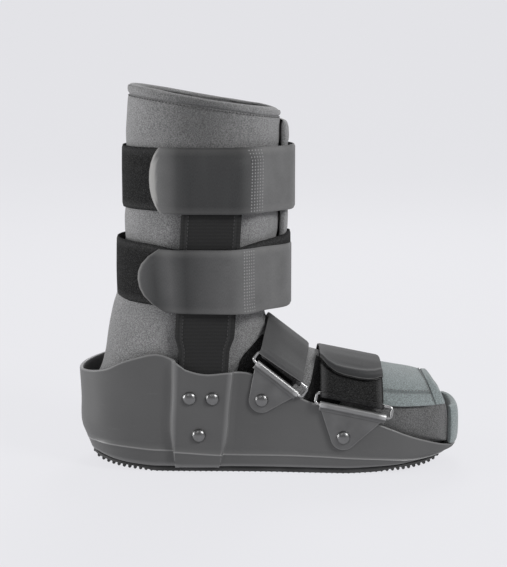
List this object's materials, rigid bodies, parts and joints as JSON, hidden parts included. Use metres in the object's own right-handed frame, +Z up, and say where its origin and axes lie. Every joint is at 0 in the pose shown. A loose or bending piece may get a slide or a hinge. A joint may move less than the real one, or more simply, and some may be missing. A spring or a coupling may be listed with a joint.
{
  "type": "medical walking boot",
  "caption": "Low ankle walker: rocker-soled moulded shell with riveted uprights, padded wrap liner, two calf straps and two foot straps through wire rings.",
  "frame": {"origin": "on the floor, in the middle of the boot's length and width", "axes": "+X to the toe, +Z up, +Y from the side where the calf straps end (the outer side, seen in the picture) to the inner side"},
  "size_m": [0.305, 0.1284, 0.3026],
  "materials": {
    "shell": "moulded dark grey plastic, satin with a fine grain",
    "sole": "dark grey moulded rubber, matt",
    "upright": "plain flat bar",
    "painted_metal": "grey painted steel, semi-gloss",
    "ring": "bright steel wire",
    "padding": "grey brushed loop fabric over foam",
    "woven": "black woven cover with stitched edges",
    "pile": "black soft loop pile",
    "strap": "charcoal smooth strap with a slight sheen"
  },
  "bodies": {
    "root": {"shell": "shell", "outsole": "sole", "liner": "padding", "front_flap": "padding", "toe_flap": "padding", "toe_bumper": "padding", "strut_near": "upright", "strut_sleeve_near": "woven", "strut_rivet_near_1": "painted_metal", "strut_rivet_near_2": "painted_metal", "strut_rivet_near_3": "painted_metal", "instep_bracket_near": "painted_metal", "instep_ring_near": "ring", "instep_rivet_near": "painted_metal", "forefoot_bracket_near": "painted_metal", "forefoot_ring_near": "ring", "forefoot_rivet_near": "painted_metal", "strut_far": "upright", "strut_sleeve_far": "woven", "strut_rivet_far_1": "painted_metal", "strut_rivet_far_2": "painted_metal", "strut_rivet_far_3": "painted_metal", "instep_bracket_far": "painted_metal", "instep_ring_far": "ring", "instep_rivet_far": "painted_metal", "forefoot_bracket_far": "painted_metal", "forefoot_ring_far": "ring", "forefoot_rivet_far": "painted_metal", "upper_strap_pile": "pile", "upper_strap_smooth": "strap", "lower_strap_pile": "pile", "lower_strap_smooth": "strap", "instep_strap_pile": "pile", "instep_strap_smooth": "strap", "forefoot_strap_pile": "pile", "forefoot_strap_smooth": "strap"}
  },
  "joints": []
}
